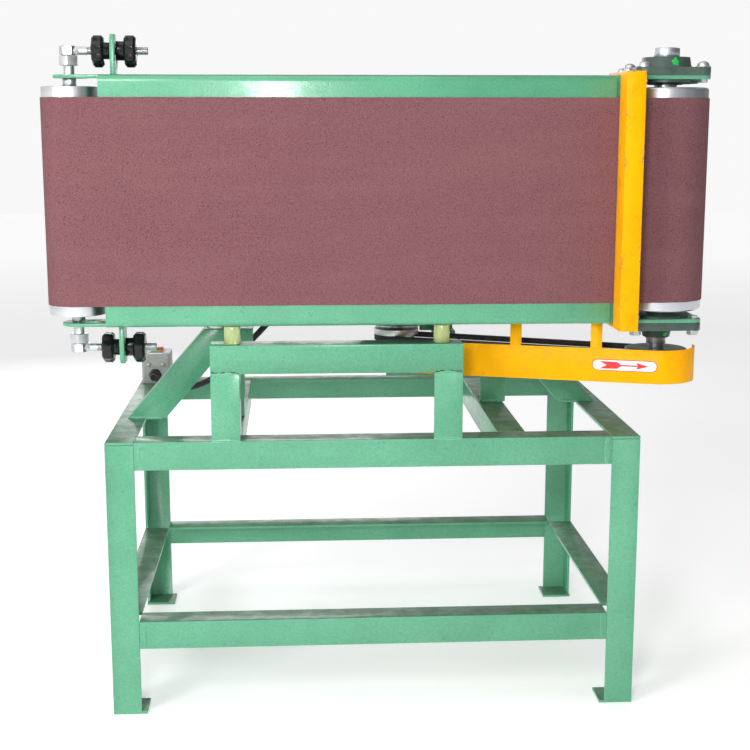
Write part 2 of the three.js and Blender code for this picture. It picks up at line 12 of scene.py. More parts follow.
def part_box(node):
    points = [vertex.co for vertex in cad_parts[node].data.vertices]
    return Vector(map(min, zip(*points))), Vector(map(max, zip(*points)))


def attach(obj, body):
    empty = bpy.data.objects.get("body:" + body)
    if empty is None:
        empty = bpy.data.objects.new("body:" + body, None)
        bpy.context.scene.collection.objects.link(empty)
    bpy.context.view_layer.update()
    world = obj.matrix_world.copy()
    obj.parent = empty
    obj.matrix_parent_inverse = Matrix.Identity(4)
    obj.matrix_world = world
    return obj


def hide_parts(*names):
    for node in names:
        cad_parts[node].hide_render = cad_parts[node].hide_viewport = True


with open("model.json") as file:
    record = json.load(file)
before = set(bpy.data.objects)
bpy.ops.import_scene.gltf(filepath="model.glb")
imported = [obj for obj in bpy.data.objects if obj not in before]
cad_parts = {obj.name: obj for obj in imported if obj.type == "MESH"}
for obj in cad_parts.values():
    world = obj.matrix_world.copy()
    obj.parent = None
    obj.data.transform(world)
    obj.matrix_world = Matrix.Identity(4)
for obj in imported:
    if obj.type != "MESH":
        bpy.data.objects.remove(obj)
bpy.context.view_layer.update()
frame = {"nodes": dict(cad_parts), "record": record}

nodes = frame["nodes"]
mm = 0.001
gap = 0.3 * mm
up = Vector((0, 0, 1))
down = -up
front = Vector((0, -1, 0))
right = Vector((1, 0, 0))


def low(node):
    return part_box(node)[0]


def high(node):
    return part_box(node)[1]


def middle(node):
    return (low(node) + high(node)) / 2


def heading(degrees):
    """The level direction at an angle from +X, anticlockwise seen from above."""
    turn = math.radians(degrees)
    return Vector((math.cos(turn), math.sin(turn), 0))


def on_axis(axis, z):
    """The point of an upright axis at a height."""
    return Vector((axis.x, axis.y, z))


# Places read from the frame

idler_axis = middle("idler_drum")
drive_axis = middle("drive_drum")
motor_axis = middle("motor_rotor")
platen_low = low("platen_frame")
platen_high = high("platen_frame")
platen_ends = (("top", platen_high.z, up), ("bottom", platen_low.z, down))
platen_sheet = 6 * mm
belt_face = drive_axis.y - 76.8 * mm
ring_top = high("top_rail_front").z
head_rail_top = high("head_rail").z
along_guard = heading(162)
across_guard = Vector((-along_guard.y, along_guard.x, 0))


# Camera

def make_camera():
    """The photo's point of view: a little left of the middle, as high as the belt, looking down."""
    place = (-0.1487, -2.60594, 1.03926)
    pitch = math.radians(10.362)
    yaw = math.radians(3.342)
    data = bpy.data.cameras.new("camera")
    data.sensor_width = 36
    data.lens = 65.33
    camera = bpy.data.objects.new("camera", data)
    camera.location = place
    camera.rotation_euler = Euler((math.pi / 2 - pitch, 0, -yaw))
    bpy.context.scene.collection.objects.link(camera)
    bpy.context.scene.camera = camera


make_camera()


# Finishes

class Finish:
    """One material: a Principled shader, with short calls for the nodes that shape its surface."""

    def __init__(self, name, **sockets):
        self.material = bpy.data.materials.new(name)
        self.material.use_nodes = True
        self.tree = self.material.node_tree
        self.shader = self.tree.nodes["Principled BSDF"]
        for socket, value in sockets.items():
            self.shader.inputs[socket.replace("_", " ")].default_value = value
        self.place = self.node("TexCoord").outputs["Object"]
        self.normal = self.node("NewGeometry").outputs["Normal"]

    def node(self, kind, inputs=None, **settings):
        made = self.tree.nodes.new("ShaderNode" + kind)
        for name, value in settings.items():
            setattr(made, name, value)
        for name, value in (inputs or {}).items():
            self.feed(made.inputs[name], value)
        return made

    def feed(self, socket, value):
        if isinstance(value, bpy.types.NodeSocket):
            self.tree.links.new(value, socket)
        else:
            socket.default_value = value

    def noise(self, scale, detail=3, roughness=0.5, stretch=(1, 1, 1)):
        where = self.node("Mapping", {"Vector": self.place, "Scale": stretch}).outputs["Vector"]
        inputs = {"Vector": where, "Scale": scale, "Detail": detail, "Roughness": roughness}
        return self.node("TexNoise", inputs).outputs["Fac"]

    def facing(self, name):
        return self.node("SeparateXYZ", {"Vector": self.normal}).outputs[name]

    def math(self, operation, first, second=0.0):
        made = self.node("Math", operation=operation)
        self.feed(made.inputs[0], first)
        self.feed(made.inputs[1], second)
        return made.outputs["Value"]

    def spread(self, value, low_end, high_end, to_low=0.0, to_high=1.0):
        inputs = {"Value": value, "From Min": low_end, "From Max": high_end}
        inputs.update({"To Min": to_low, "To Max": to_high})
        return self.node("MapRange", inputs).outputs["Result"]

    def mix(self, factor, first, second):
        made = self.node("Mix", data_type="RGBA")
        self.feed(made.inputs["Factor"], factor)
        self.feed(made.inputs["A"], first)
        self.feed(made.inputs["B"], second)
        return made.outputs["Result"]

    def patches(self, grain, low_end, high_end, to_low=0.0, to_high=1.0):
        """Noise spread over a range. grain is the noise's scale, detail, roughness and stretch."""
        return self.spread(self.noise(*grain), low_end, high_end, to_low, to_high)

    def two_tone(self, grain, first, second):
        """Two colours in soft patches."""
        return self.mix(self.patches(grain, 0.3, 0.7), first, second)

    def edges(self, radius):
        """1 on a convex or concave edge, 0 on a flat face."""
        round_normal = self.node("Bevel", {"Radius": radius}, samples=4).outputs["Normal"]
        inputs = {0: round_normal, 1: self.normal}
        alike = self.node("VectorMath", inputs, operation="DOT_PRODUCT").outputs["Value"]
        return self.spread(alike, 0.99, 0.75)

    def color(self, value):
        self.feed(self.shader.inputs["Base Color"], value)

    def roughness(self, value):
        self.feed(self.shader.inputs["Roughness"], value)

    def bump(self, *layers):
        """Each layer is (height, distance in metres, strength)."""
        normal = None
        for height, distance, strength in layers:
            inputs = {"Height": height, "Distance": distance, "Strength": strength}
            if normal is not None:
                inputs["Normal"] = normal
            normal = self.node("Bump", inputs).outputs["Normal"]
        self.feed(self.shader.inputs["Normal"], normal)


def linear(red, green, blue):
    """An sRGB colour of 0 to 255 as linear light, with alpha."""
    def channel(value):
        value /= 255
        return value / 12.92 if value <= 0.04045 else ((value + 0.055) / 1.055) ** 2.4
    return (channel(red), channel(green), channel(blue), 1)


def enamel_finish():
    """Mint-green enamel brushed on thick: a pebbled skin with painted highlight specks, dust on level
    faces, wear along the edges.
    """
    finish = Finish("mint_enamel", Coat_Weight=0.35, Coat_Roughness=0.14)
    paint = finish.two_tone((9, 4, 0.6), linear(84, 160, 124), linear(98, 176, 138))
    mottled = finish.patches((300, 3, 0.7), 0.35, 0.7, 0, 0.55)
    paint = finish.mix(mottled, paint, linear(64, 134, 100))
    # Painted highlight: pale green specks in the colour stand in for glints of light off the pebbled
    # skin.
    painted_glints = finish.patches((520, 2, 0.6), 0.62, 0.74, 0, 0.3)
    paint = finish.mix(painted_glints, paint, linear(156, 216, 186))
    level = finish.spread(finish.facing("Z"), 0.8, 0.98)
    patches = finish.patches((28, 6, 0.7), 0.35, 0.62, 0.45, 0.85)
    dust = finish.math("MULTIPLY", level, patches)
    paint = finish.mix(dust, paint, linear(74, 98, 72))
    edge = finish.edges(1.6 * mm)
    worn = finish.math("MULTIPLY", edge, finish.patches((70, 5, 0.7), 0.42, 0.62))
    paint = finish.mix(finish.math("MULTIPLY", worn, 0.5), paint, linear(158, 206, 180))
    chips = finish.patches((190, 4, 0.6), 0.70, 0.715)
    chips = finish.math("MULTIPLY", chips, finish.edges(2.5 * mm))
    paint = finish.mix(chips, paint, linear(70, 66, 58))
    finish.color(paint)
    gloss = finish.patches((60, 4, 0.6), 0.3, 0.7, 0.26, 0.42)
    finish.roughness(finish.math("MAXIMUM", gloss, finish.math("MULTIPLY", dust, 0.8)))
    finish.bump(
        (finish.noise(18, 2, 0.5), 1.2 * mm, 0.15),
        (finish.noise(330, 2, 0.5), 0.6 * mm, 0.5),
    )
    return finish.material


def yellow_finish(name, wear):
    """Glossy safety yellow on folded sheet. wear is the share of its chips and grime, up to 1."""
    finish = Finish(name, Specular_IOR_Level=0.09)
    paint = finish.two_tone((14, 3, 0.6), linear(246, 168, 0), linear(253, 180, 0))
    grime = finish.patches((30, 6, 0.75), 0.54, 0.72, 0, 0.6 * wear)
    paint = finish.mix(grime, paint, linear(206, 128, 12))
    specks = finish.patches((240, 4, 0.7), 0.71, 0.74, 0, 0.7)
    paint = finish.mix(specks, paint, linear(96, 74, 40))
    near_edge = finish.spread(finish.edges(9 * mm), 0.0, 0.2)
    blots = finish.patches((22, 3, 0.6), 0.46, 0.56)
    chips = finish.patches((130, 6, 0.72), 0.54, 0.56)
    chips = finish.math("MULTIPLY", chips, finish.math("MULTIPLY", near_edge, blots))
    chips = finish.math("MULTIPLY", chips, wear)
    paint = finish.mix(chips, paint, linear(112, 94, 92))
    finish.color(paint)
    finish.roughness(finish.patches((90, 4, 0.6), 0.3, 0.7, 0.28, 0.45))
    finish.bump((finish.noise(30, 2, 0.5), 0.8 * mm, 0.15), (finish.noise(260, 2, 0.5), 0.3 * mm, 0.3))
    return finish.material


def abrasive_finish():
    """Brown-red abrasive grit glued on cloth, with dust caught between the grains."""
    finish = Finish("abrasive_grit", Specular_IOR_Level=0.25)
    grit = finish.two_tone((5, 4, 0.6), linear(98, 60, 64), linear(106, 67, 71))
    grain = finish.patches((620, 3, 0.75), 0.38, 0.68)
    grit = finish.mix(grain, grit, linear(140, 97, 102))
    pits = finish.patches((380, 2, 0.6), 0.58, 0.70, 0, 0.6)
    grit = finish.mix(pits, grit, linear(62, 34, 38))
    streaks = finish.patches((26, 4, 0.6, (0.12, 0.12, 1)), 0.45, 0.75, 0, 0.08)
    grit = finish.mix(streaks, grit, linear(158, 124, 118))
    finish.color(grit)
    finish.roughness(finish.spread(grain, 0, 1, 0.95, 0.75))
    finish.bump((finish.noise(620, 3, 0.75), 0.35 * mm, 0.7), (finish.noise(5, 1, 0.5), 3 * mm, 0.04))
    return finish.material


def cloth_finish():
    """The woven backing inside the abrasive belt."""
    finish = Finish("belt_backing", Sheen_Weight=0.2, Sheen_Roughness=0.5)
    thread = {"Vector": finish.place, "Scale": 280.0}
    waves = [finish.node("TexWave", thread, bands_direction=axis) for axis in ("X", "Z")]
    weave = finish.math("MULTIPLY", *[wave.outputs["Fac"] for wave in waves])
    cloth = finish.two_tone((12, 4, 0.6), linear(150, 122, 92), linear(170, 142, 108))
    cloth = finish.mix(finish.spread(weave, 0, 1, 0, 0.4), cloth, linear(110, 84, 60))
    finish.color(cloth)
    finish.roughness(finish.spread(weave, 0, 1, 0.75, 0.95))
    finish.bump((weave, 0.2 * mm, 0.6))
    return finish.material


def turned_finish():
    """Bright aluminium with fine tool marks round the drum's axis, and a few scuffs."""
    finish = Finish("turned_aluminium", Metallic=1.0)
    rings = finish.noise(2600, 2, 0.5, (0.01, 0.01, 1))
    bands = finish.noise(90, 2, 0.5, (0.03, 0.03, 1))
    metal = finish.mix(finish.spread(bands, 0.3, 0.7), linear(206, 209, 214), linear(228, 231, 235))
    stains = finish.patches((40, 5, 0.7), 0.58, 0.78, 0, 0.25)
    metal = finish.mix(stains, metal, linear(160, 160, 160))
    finish.color(metal)
    finish.roughness(finish.spread(rings, 0.3, 0.7, 0.3, 0.4))
    finish.bump((rings, 0.03 * mm, 0.15), (finish.noise(300, 3, 0.6), 0.05 * mm, 0.15))
    return finish.material


def zinc_finish():
    """Satin zinc plate on rods, nuts and bolts, with a faint warm and blue tint."""
    finish = Finish("zinc_plate", Metallic=1.0)
    tint = finish.patches((50, 4, 0.6), 0.35, 0.65)
    metal = finish.mix(tint, linear(204, 209, 216), linear(218, 218, 214))
    spots = finish.patches((220, 4, 0.7), 0.66, 0.78, 0, 0.35)
    metal = finish.mix(spots, metal, linear(140, 138, 134))
    finish.color(metal)
    finish.roughness(finish.patches((140, 4, 0.6), 0.3, 0.7, 0.34, 0.46))
    finish.bump((finish.noise(420, 3, 0.6), 0.06 * mm, 0.2))
    return finish.material


def casting_finish():
    """Dark grey-green primer on rough iron castings, rubbed bright on the edges."""
    finish = Finish("primed_casting", Coat_Weight=0.2, Coat_Roughness=0.3)
    tone = finish.patches((30, 5, 0.65), 0.3, 0.7)
    primer = finish.mix(tone, linear(50, 68, 62), linear(72, 92, 84))
    spots = finish.patches((90, 4, 0.6), 0.4, 0.6)
    rubbed = finish.math("MULTIPLY", finish.edges(1.5 * mm), spots)
    primer = finish.mix(rubbed, primer, linear(140, 146, 142))
    finish.color(primer)
    finish.roughness(finish.spread(tone, 0, 1, 0.36, 0.58))
    finish.bump((finish.noise(90, 4, 0.6), 0.6 * mm, 0.35), (finish.noise(420, 2, 0.5), 0.25 * mm, 0.4))
    return finish.material


def phenolic_finish():
    """Black phenolic moulding: glossy, with rubbed dust in the hollows."""
    finish = Finish("black_phenolic", Specular_IOR_Level=0.35, Coat_Weight=0.1, Coat_Roughness=0.1)
    dust = finish.patches((120, 5, 0.7), 0.6, 0.8, 0, 0.12)
    finish.color(finish.mix(dust, linear(10, 11, 13), linear(52, 50, 48)))
    finish.roughness(finish.patches((80, 4, 0.6), 0.3, 0.7, 0.14, 0.28))
    finish.bump((finish.noise(160, 3, 0.5), 0.12 * mm, 0.3))
    return finish.material


def urethane_finish():
    """Cloudy yellow-green cast polyurethane that lets some light through."""
    finish = Finish("cast_urethane", Transmission_Weight=0.55, IOR=1.45, Subsurface_Weight=0.4)
    finish.shader.inputs["Subsurface Scale"].default_value = 12 * mm
    upright_clouds = (35, 4, 0.6, (1, 1, 0.4))
    finish.color(finish.two_tone(upright_clouds, linear(206, 220, 150), linear(232, 240, 190)))
    finish.roughness(finish.patches((110, 3, 0.6), 0.3, 0.7, 0.14, 0.26))
    finish.bump((finish.noise(60, 3, 0.5, (1, 1, 0.3)), 0.6 * mm, 0.3))
    return finish.material


def motor_finish():
    """Dark blue-grey enamel sprayed over a cast motor shell."""
    finish = Finish("motor_enamel", Coat_Weight=0.25, Coat_Roughness=0.25)
    paint = finish.two_tone((25, 4, 0.6), linear(54, 68, 80), linear(68, 84, 98))
    dust = finish.spread(finish.facing("Z"), 0.5, 0.95, 0, 0.4)
    paint = finish.mix(dust, paint, linear(128, 124, 112))
    spots = finish.patches((90, 4, 0.6), 0.45, 0.62)
    worn = finish.math("MULTIPLY", finish.edges(1.5 * mm), spots)
    paint = finish.mix(finish.math("MULTIPLY", worn, 0.6), paint, linear(124, 134, 142))
    finish.color(paint)
    finish.roughness(finish.patches((60, 4, 0.6), 0.3, 0.7, 0.35, 0.55))
    finish.bump((finish.noise(150, 3, 0.6), 0.4 * mm, 0.35))
    return finish.material


def rubber_finish():
    """Matt black rubber with a dusting of grey."""
    finish = Finish("matt_rubber", Specular_IOR_Level=0.4)
    dust = finish.patches((70, 5, 0.7), 0.45, 0.75, 0, 0.4)
    finish.color(finish.mix(dust, linear(26, 26, 28), linear(74, 72, 70)))
    finish.roughness(finish.patches((200, 3, 0.6), 0.3, 0.7, 0.55, 0.8))
    finish.bump((finish.noise(500, 3, 0.6), 0.15 * mm, 0.4))
    return finish.material


def moulded_finish(name, first, second, gloss):
    """A moulded plastic with a fine spark-eroded grain and a little handling grime."""
    finish = Finish(name, Coat_Weight=0.1)
    plastic = finish.two_tone((35, 4, 0.6), first, second)
    grime = finish.patches((110, 5, 0.7), 0.58, 0.78, 0, 0.3)
    plastic = finish.mix(grime, plastic, linear(92, 88, 80))
    finish.color(plastic)
    finish.roughness(finish.patches((150, 3, 0.6), 0.3, 0.7, gloss, gloss + 0.15))
    finish.bump((finish.noise(900, 2, 0.5), 0.06 * mm, 0.35))
    return finish.material


finishes = {
    "enamel": enamel_finish(),
    "yellow_paint": yellow_finish("safety_yellow", 1.0),
    "abrasive_cloth": abrasive_finish(),
    "bright_aluminium": turned_finish(),
    "bright_steel": zinc_finish(),
    "cast_iron": casting_finish(),
    "black_plastic": phenolic_finish(),
    "urethane": urethane_finish(),
    "motor_paint": motor_finish(),
    "black_rubber": rubber_finish(),
    "grey_plastic": moulded_finish("grey_moulding", linear(150, 156, 150), linear(168, 173, 168), 0.4),
    "green_plastic": moulded_finish("green_moulding", linear(36, 150, 72), linear(48, 166, 84), 0.25),
    "red_plastic": moulded_finish("red_moulding", linear(208, 44, 30), linear(226, 60, 42), 0.22),
}
backing = cloth_finish()
clean_yellow = yellow_finish("clean_yellow", 0.15)
white_film = moulded_finish("white_film", linear(236, 236, 238), linear(246, 246, 248), 0.3)
red_film = moulded_finish("red_film", linear(226, 34, 40), linear(236, 46, 50), 0.3)
marking_paint = moulded_finish("green_marking", linear(16, 190, 74), linear(30, 206, 92), 0.35)
# Painted shadow: a dark green colour for the ribbon of shade along the top of the rough head welds.
painted_weld_shadow = moulded_finish("painted_weld_shadow", linear(26, 50, 38), linear(44, 80, 62), 0.6)


# The CAD nodes

def soften(obj, width, angle=34):
    """Rounds a CAD node's edges by a small bevel and smooths what is left of its facets."""
    weld = obj.modifiers.new("weld", "WELD")
    weld.merge_threshold = 0.01 * mm
    bevel = obj.modifiers.new("bevel", "BEVEL")
    bevel.width = width
    bevel.segments = 2
    bevel.limit_method = "ANGLE"
    bevel.angle_limit = math.radians(angle)
    bevel.use_clamp_overlap = True
    bevel.harden_normals = True
    for face in obj.data.polygons:
        face.use_smooth = True


bevel_widths = {
    "enamel": 1.0 * mm,
    "yellow_paint": 0.8 * mm,
    "black_plastic": 1.4 * mm,
    "grey_plastic": 1.5 * mm,
    "urethane": 1.0 * mm,
    "cast_iron": 1.5 * mm,
}


def finish_nodes():
    for subpart in frame["record"]["subparts"]:
        obj = nodes[subpart["node"]]
        slot = subpart["material_slot"]
        obj.data.materials.clear()
        obj.data.materials.append(finishes[slot])
        soften(obj, bevel_widths.get(slot, 0.5 * mm))


finish_nodes()
nodes["belt_guard"].data.materials[0] = clean_yellow


# Mesh tools

def piece(name, form, slot, body="frame", materials=None):
    """A new object that rides on a CAD body and takes its finish from a slot of the record."""
    mesh = form.mesh(name)
    obj = bpy.data.objects.new(name, mesh)
    bpy.context.scene.collection.objects.link(obj)
    for material in materials or [finishes[slot]]:
        mesh.materials.append(material)
    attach(obj, body)
    return obj


def facing_along(origin, direction):
    """The matrix that carries local +Z to a direction, and the local origin to a point."""
    return Matrix.Translation(origin) @ direction.to_track_quat("Z", "Y").to_matrix().to_4x4()


class Form:
    """A mesh built from rings of points, closed at both ends."""

    def __init__(self):
        self.bm = bmesh.new()

    def rings(self, rings, where=Matrix.Identity(4), material=0, smooth=True, closed=False):
        loops = [[self.bm.verts.new(where @ Vector(point)) for point in ring] for ring in rings]
        pairs = list(zip(loops, loops[1:]))
        if closed:
            pairs.append((loops[-1], loops[0]))
        for first, second in pairs:
            for i in range(len(first)):
                j = (i + 1) % len(first)
                face = self.bm.faces.new((first[i], first[j], second[j], second[i]))
                face.smooth = smooth
                face.material_index = material
        if not closed:
            for loop in (list(reversed(loops[0])), loops[-1]):
                self.bm.faces.new(loop).material_index = material
        return self

    def turned(self, profile, where=Matrix.Identity(4), steps=32, material=0, closed=False):
        """A profile of (radius, height) points turned about local Z."""
        angles = [2 * math.pi * i / steps for i in range(steps)]
        rings = [[(r * math.cos(a), r * math.sin(a), z) for a in angles] for r, z in profile]
        return self.rings(rings, where, material, closed=closed)

    def hexagon(self, flats, height, where=Matrix.Identity(4), both_ends=False, material=0):
        """A chamfered hexagon, as a bolt head or nut is. flats is the distance across its flats."""
        inner = flats / 2
        angles = [2 * math.pi * i / 36 for i in range(36)]
        corner = [inner / math.cos((a % (math.pi / 3)) - math.pi / 6) for a in angles]
        chamfer = [(r - 0.94 * inner) * math.tan(math.radians(28)) for r in corner]

        def ring(radii, heights):
            return [(r * math.cos(a), r * math.sin(a), z) for r, a, z in zip(radii, angles, heights)]

        top = [ring(corner, [height - c for c in chamfer]), ring([0.94 * inner] * 36, [height] * 36)]
        foot = [ring(corner, [0.0] * 36)]
        if both_ends:
            foot = [ring([0.94 * inner] * 36, [0.0] * 36), ring(corner, chamfer)]
        return self.rings(foot + top, where, material, smooth=False)

    def slab(self, outline, thickness, where=Matrix.Identity(4), material=0):
        """A flat outline of (x, y) points raised along local Z."""
        rings = [[(x, y, z) for x, y in outline] for z in (0.0, thickness)]
        return self.rings(rings, where, material, smooth=False)

    def mesh(self, name):
        mesh = bpy.data.meshes.new(name)
        bmesh.ops.recalc_face_normals(self.bm, faces=self.bm.faces[:])
        self.bm.to_mesh(mesh)
        self.bm.free()
        mesh.set_sharp_from_angle(angle=math.radians(38))
        return mesh


def arc(center_x, center_y, radius, start, end, steps):
    """Points of an arc from one angle to another, in degrees."""
    angles = [math.radians(start + (end - start) * i / steps) for i in range(steps + 1)]
    return [(center_x + radius * math.cos(a), center_y + radius * math.sin(a)) for a in angles]


# Fasteners

def washer(form, radius, thickness, where):
    edge = 0.15 * radius
    bore = 0.45 * radius
    profile = [
        (bore, 0), (radius - edge / 3, 0), (radius, thickness / 3),
        (radius, thickness - edge / 3), (radius - edge / 3, thickness),
        (bore, thickness),
    ]
    return form.turned(profile, where, closed=True)


def hex_bolt(form, size, origin, direction, with_washer=True):
    """A hexagon bolt head on a washer, for a thread of the given size."""
    where = facing_along(origin, direction)
    thickness = 0.16 * size if with_washer else 0
    if with_washer:
        washer(form, 1.08 * size, thickness, where)
    form.hexagon(1.6 * size, 0.62 * size, where @ Matrix.Translation((0, 0, thickness)))
    return form


def domed_bolt(form, size, origin, direction):
    """A low domed head on a washer."""
    where = facing_along(origin, direction)
    washer(form, 1.15 * size, 0.16 * size, where)
    radius = 0.92 * size
    height = 0.62 * size
    dome = [(radius, 0.16 * size), (radius, 0.3 * size)]
    for step in range(1, 6):
        turn = step / 6 * math.pi / 2
        dome.append((radius * math.cos(turn), 0.3 * size + height * math.sin(turn)))
    return form.turned([(0.4 * radius, 0.16 * size)] + dome, where, 28)


def hex_nut(form, size, origin, direction, stud=0.35):
    """A nut on a washer, with the end of its stud standing out by a share of the thread's size."""
    where = facing_along(origin, direction)
    washer(form, 1.08 * size, 0.16 * size, where)
    form.hexagon(1.6 * size, 0.8 * size, where @ Matrix.Translation((0, 0, 0.16 * size)))
    radius = 0.48 * size
    tip = size * (0.96 + stud)
    chamfer = 0.1 * size
    stud_end = [(radius, 0.9 * size), (radius, tip - chamfer), (radius - chamfer, tip)]
    form.turned(stud_end, where, 20)
    return form


def pan_screw(form, size, origin, direction):
    """A small pan-head screw whose recess is a sunk disc."""
    where = facing_along(origin, direction)
    radius = 0.95 * size
    profile = [
        (radius, 0), (radius, 0.3 * size), (0.8 * radius, 0.52 * size),
        (0.4 * radius, 0.6 * size), (0.34 * radius, 0.25 * size),
    ]
    return form.turned(profile, where, 20)


bearing_flange = 14 * mm + gap
bearing_corners = [Vector((x, y, 0)) * 51 * mm for x in (-1, 1) for y in (-1, 1)]


def bearing_fasteners():
    """Domed bolts on the upper bearing, hexagon bolts under the lower one."""
    bolts = {"top": domed_bolt, "bottom": hex_bolt}
    for end, level, direction in platen_ends:
        seat = on_axis(drive_axis, level) + direction * bearing_flange
        form = Form()
        for corner in bearing_corners:
            bolts[end](form, 11 * mm, seat + corner, direction)
        piece("bearing_bolts_" + end, form, "bright_steel")


def stop_bolts():
    """Two bolts through each end of the work stop. Their depths are from the belt's working face."""
    levels = {"top": high("work_stop").z, "bottom": low("work_stop").z}
    for end, _, direction in platen_ends:
        form = Form()
        for depth in (8 * mm, 57 * mm):
            place = Vector((middle("work_stop").x, belt_face + depth, levels[end]))
            domed_bolt(form, 8.5 * mm, place, direction)
        piece("stop_bolts_" + end, form, "bright_steel")


def strap_bolts():
    """One bolt through the folded top of each strap that hangs the guard from the platen frame."""
    strap_sheet = 2.5 * mm
    middle_of_fold = 54.5 * mm
    form = Form()
    for reach in (100 * mm, 244 * mm):
        place = drive_axis + along_guard * reach + across_guard * middle_of_fold
        place.z = platen_low.z - gap - strap_sheet
        hex_bolt(form, 9 * mm, place, down)
    piece("guard_strap_bolts", form, "bright_steel")


def spacer_bolts():
    """A bolt up through the stand under three of the spacers, with its nut on the sheet above."""
    angle_wall = 5 * mm
    form = Form()
    for name in ("front_left", "front_right", "rear_left"):
        axis = middle("spacer_" + name)
        hex_bolt(form, 10 * mm, on_axis(axis, head_rail_top - angle_wall), down)
        hex_nut(form, 10 * mm, on_axis(axis, platen_low.z + platen_sheet), up)
    piece("spacer_bolts", form, "bright_steel")


def foot_bolts():
    """The bolts that hold the motor's feet to its bracket, with their heads behind the plate."""
    bracket_plate = 8 * mm
    levels = (0.765, 0.82)
    form = Form()
    back = high("motor_body").y + gap + bracket_plate
    for x in (-48 * mm, 48 * mm):
        for z in levels:
            hex_bolt(form, 9 * mm, Vector((motor_axis.x + x, back, z)), -front)
    piece("motor_foot_bolts", form, "bright_steel")


def dust_shields():
    """The dark cover ring inside each bearing plate, round the shaft, with bolt heads beside it."""
    inner, outer = 21.5 * mm, 57 * mm
    thicknesses = {"top": 8 * mm, "bottom": 5 * mm}
    for end, level, out in platen_ends:
        thickness = thicknesses[end]
        seat = on_axis(drive_axis, level) - out * platen_sheet
        profile = [
            (inner, 0), (outer, 0), (outer, 0.6 * thickness),
            (outer - 2 * mm, 0.75 * thickness), (32 * mm, 0.8 * thickness),
            (29 * mm, thickness), (inner, thickness),
        ]
        form = Form().turned(profile, facing_along(seat, -out), 48, closed=True)
        piece("dust_shield_" + end, form, "cast_iron")
        bolts = Form()
        for corner in bearing_corners:
            hex_bolt(bolts, 9 * mm, seat + corner, -out, with_washer=False)
        piece("plate_bolts_" + end, bolts, "bright_steel")


bearing_fasteners()
dust_shields()
stop_bolts()
strap_bolts()
spacer_bolts()
foot_bolts()


# Tension screws: a nut-shaped eye on the idler's shaft, a short neck and a rod with a cut thread

thread_pitch = 2 * mm
thread_depth = 1.1 * mm
rod_radius = 6.95 * mm
thread_start = 31 * mm


def threaded_rings(radius, start, end, steps=24, per_pitch=4):
    """Rings along local Z whose radius follows a V thread, with a chamfer at the far end."""
    rings = []
    count = round((end - start) / thread_pitch * per_pitch)
    for level in range(count + 1):
        z = start + (end - start) * level / count
        chamfer = max(0.0, z - (end - 2 * mm)) * 0.8
        ring = []
        for step in range(steps):
            share = (z / thread_pitch - step / steps) % 1.0
            groove = abs(2 * share - 1)
            r = min(radius - thread_depth * (1 - groove), radius - chamfer)
            turn = 2 * math.pi * step / steps
            ring.append((r * math.cos(turn), r * math.sin(turn), z))
        rings.append(ring)
    return rings


def tension_rods():
    for end in ("top", "bottom"):
        node = "tension_rod_" + end
        eye = on_axis(idler_axis, middle(node).z)
        upright = Matrix.Translation(eye - up * 7.5 * mm)
        lying = facing_along(eye, right)
        form = Form()
        form.hexagon(26 * mm, 15.5 * mm, upright, both_ends=True)
        form.turned([(9.5 * mm, 9 * mm), (8.2 * mm, 17 * mm), (7.6 * mm, 18.5 * mm)], lying, 6)
        form.turned([(rod_radius, 18 * mm), (rod_radius, thread_start + 0.2 * mm)], lying, 24)
        form.rings(threaded_rings(rod_radius, thread_start, high(node).x - idler_axis.x), lying)
        obj = piece(node + "_threaded", form, "bright_steel", "idler_carriage")
        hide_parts(node)


tension_rods()


# The abrasive belt: grit outside, woven backing inside, edges slightly frayed

def belt_loop_places():
    """Points round both drums, each with the direction that points out of the loop."""
    idler_radius = high("idler_drum").x - idler_axis.x
    drive_radius = high("drive_drum").x - drive_axis.x
    span = (drive_axis - idler_axis).to_2d()
    bearing = math.atan2(span.y, span.x)
    lean = math.asin((drive_radius - idler_radius) / span.length)
    wrap = math.pi / 2 + lean
    places = []
    for axis, radius, first, last in (
        (drive_axis, drive_radius, bearing - wrap, bearing + wrap),
        (idler_axis, idler_radius, bearing + wrap, bearing - wrap + 2 * math.pi),
    ):
        for step in range(41):
            turn = first + (last - first) * step / 40
            out = Vector((math.cos(turn), math.sin(turn), 0))
            places.append((on_axis(axis, 0) + out * radius, out))
    return places


def with_straight_runs(places, spacing):
    """The same loop, with its long straight runs split into steps."""
    full = []
    for (point, out), (following, next_out) in zip(places, places[1:] + places[:1]):
        steps = max(1, round((following - point).length / spacing))
        for step in range(steps):
            share = step / steps
            full.append((point.lerp(following, share), out.lerp(next_out, share).normalized()))
    return full


def abrasive_belt():
    low_edge = low("sanding_belt").z
    high_edge = high("sanding_belt").z
    inner, outer = 0.35 * mm, 1.75 * mm
    fray = random.Random(11)
    form = Form()
    rings = []
    for point, out in with_straight_runs(belt_loop_places(), 9 * mm):
        bottom = low_edge + fray.uniform(0.0, 0.5) * mm
        top = high_edge - fray.uniform(0.0, 0.5) * mm
        corners = ((outer, bottom), (outer, top), (inner, top), (inner, bottom))
        rings.append([form.bm.verts.new(point + out * reach + up * z) for reach, z in corners])
    for first, second in zip(rings, rings[1:] + rings[:1]):
        for side in range(4):
            following = (side + 1) % 4
            corners = (first[side], first[following], second[following], second[side])
            face = form.bm.faces.new(corners)
            face.smooth = True
            face.material_index = 0 if side == 0 else 1
    materials = [finishes["abrasive_cloth"], backing]
    obj = piece("abrasive_belt", form, "abrasive_cloth", materials=materials)
    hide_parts("sanding_belt")


abrasive_belt()


# Welds

bead_noise = random.Random(5)


